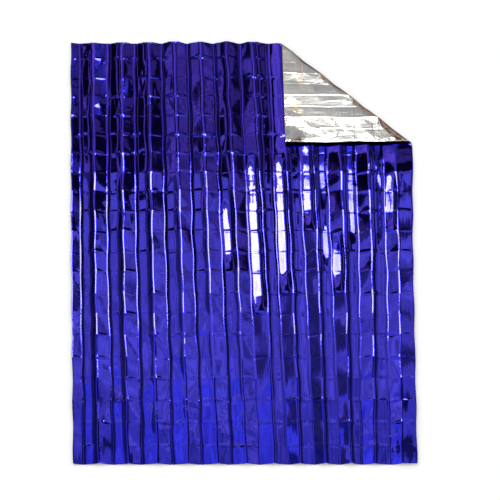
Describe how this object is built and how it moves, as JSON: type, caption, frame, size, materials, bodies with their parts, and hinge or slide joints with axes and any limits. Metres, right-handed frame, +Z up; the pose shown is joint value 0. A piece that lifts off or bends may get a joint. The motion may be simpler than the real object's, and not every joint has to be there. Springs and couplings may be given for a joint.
{
  "type": "emergency foil blanket",
  "caption": "Emergency foil blanket of metallised film, blue face up and silver back, laid flat with its packing creases, one corner folded over.",
  "frame": {"origin": "middle of the laid sheet's outline, on the surface that it lies on", "axes": "+X to the right across the sheet, +Y to its head, where the right corner is folded over, +Z up"},
  "size_m": [1.3596, 2.079, 0.0195],
  "materials": {
    "film": "metallised film with a mirror gloss, deep violet blue on its face and silver on its back"
  },
  "bodies": {
    "root": {"blanket": "film"}
  },
  "joints": []
}
